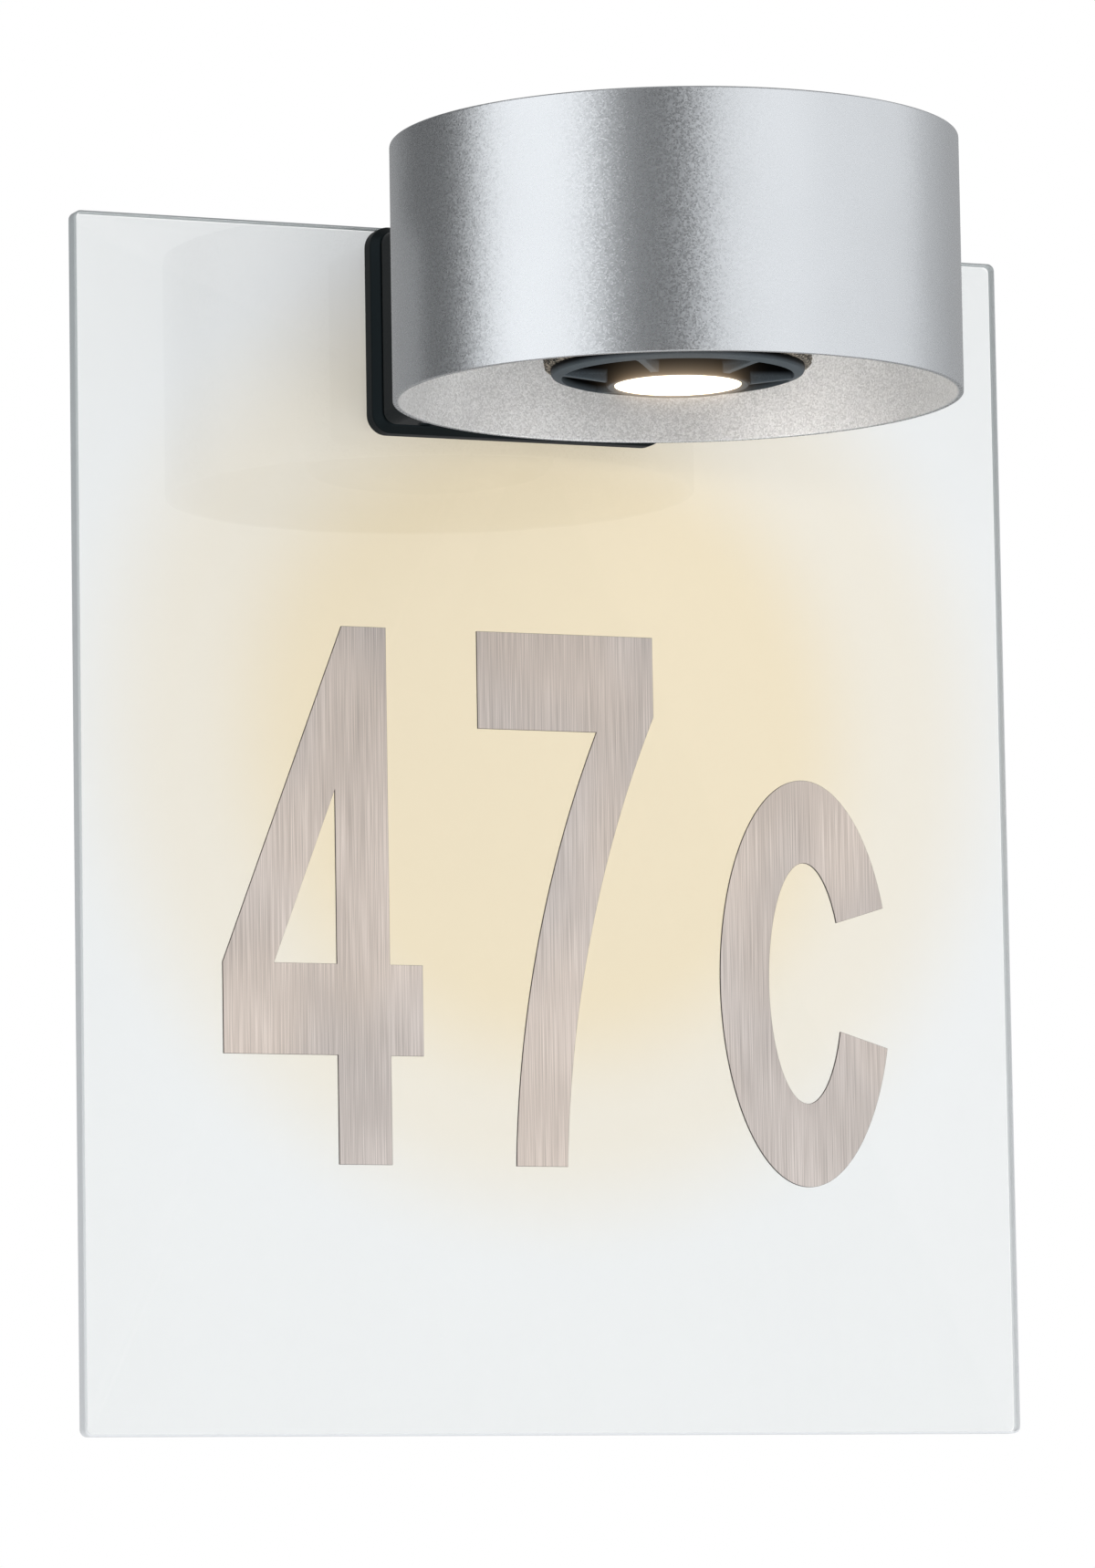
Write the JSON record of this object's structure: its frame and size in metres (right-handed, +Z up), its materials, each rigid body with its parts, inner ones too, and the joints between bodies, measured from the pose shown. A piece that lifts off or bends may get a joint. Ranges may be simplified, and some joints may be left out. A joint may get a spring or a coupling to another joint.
{
  "type": "outdoor wall light",
  "caption": "Outdoor wall light: round silver down-light on a black bracket that clamps a clear-edged white panel with metal house digits.",
  "frame": {"origin": "middle of the two wall screws, on the wall's face", "axes": "+X to the right seen from the front, +Y into the wall, +Z up"},
  "size_m": [0.2, 0.1353, 0.247],
  "materials": {
    "clear_panel": "clear, polished edges",
    "satin_white": "satin white film",
    "brushed_digits": "brushed upright",
    "clear_buffer": "soft clear silicone",
    "black_casting": "fine satin black",
    "silver_paint": "fine metallic silver",
    "black_plastic": "satin black",
    "dark_aluminium": "black anodised",
    "rubber": "matt",
    "screw_steel": "stainless",
    "cream_plastic": "matt heat-proof plastic",
    "contact_brass": "plain",
    "lead_sleeve": "silicone sleeve",
    "earth_sleeve": "silicone sleeve",
    "lens_clear": "frosted",
    "board_white": "white solder mask",
    "board_green": "circuit board",
    "chip_yellow": "phosphor"
  },
  "bodies": {
    "fixture": {"number_panel": "clear_panel", "satin_film": "satin_white", "digit_four": "brushed_digits", "digit_seven": "brushed_digits", "letter_c": "brushed_digits", "panel_buffers": "clear_buffer", "wall_plate": "black_casting", "wall_seal": "rubber", "cable_grommet": "rubber", "panel_seal": "rubber", "bracket": "black_casting", "bracket_seal": "rubber", "clamp_screws": "screw_steel", "terminal_block": "cream_plastic", "saddle": "black_casting", "grub_screws": "screw_steel", "saddle_seal": "rubber", "head_screws": "screw_steel", "head_grommet": "rubber", "lamp_head": "silver_paint", "ceiling_plate": "silver_paint", "ceiling_seal": "rubber", "ceiling_screws": "screw_steel", "lamp_cup": "black_plastic", "cup_screws": "screw_steel", "lamp_seal": "rubber", "lamp_holder": "cream_plastic", "holder_screws": "screw_steel", "holder_contacts": "contact_brass", "holder_leads": "lead_sleeve", "earth_lead": "earth_sleeve", "earth_screw": "screw_steel"},
    "lamp": {"lamp_bezel": "black_plastic", "lamp_lens": "lens_clear", "heat_sink": "dark_aluminium", "led_board": "board_white", "led_chip": "chip_yellow", "lamp_cap": "black_plastic", "driver_board": "board_green", "contact_pins": "contact_brass"}
  },
  "joints": [
    {"name": "lamp_turn", "type": "hinge", "parent": "fixture", "child": "lamp", "pos_m": [0.0077, -0.0803, -0.01715], "axis": [0, 0, -1], "range_deg": [0, 25]}
  ]
}
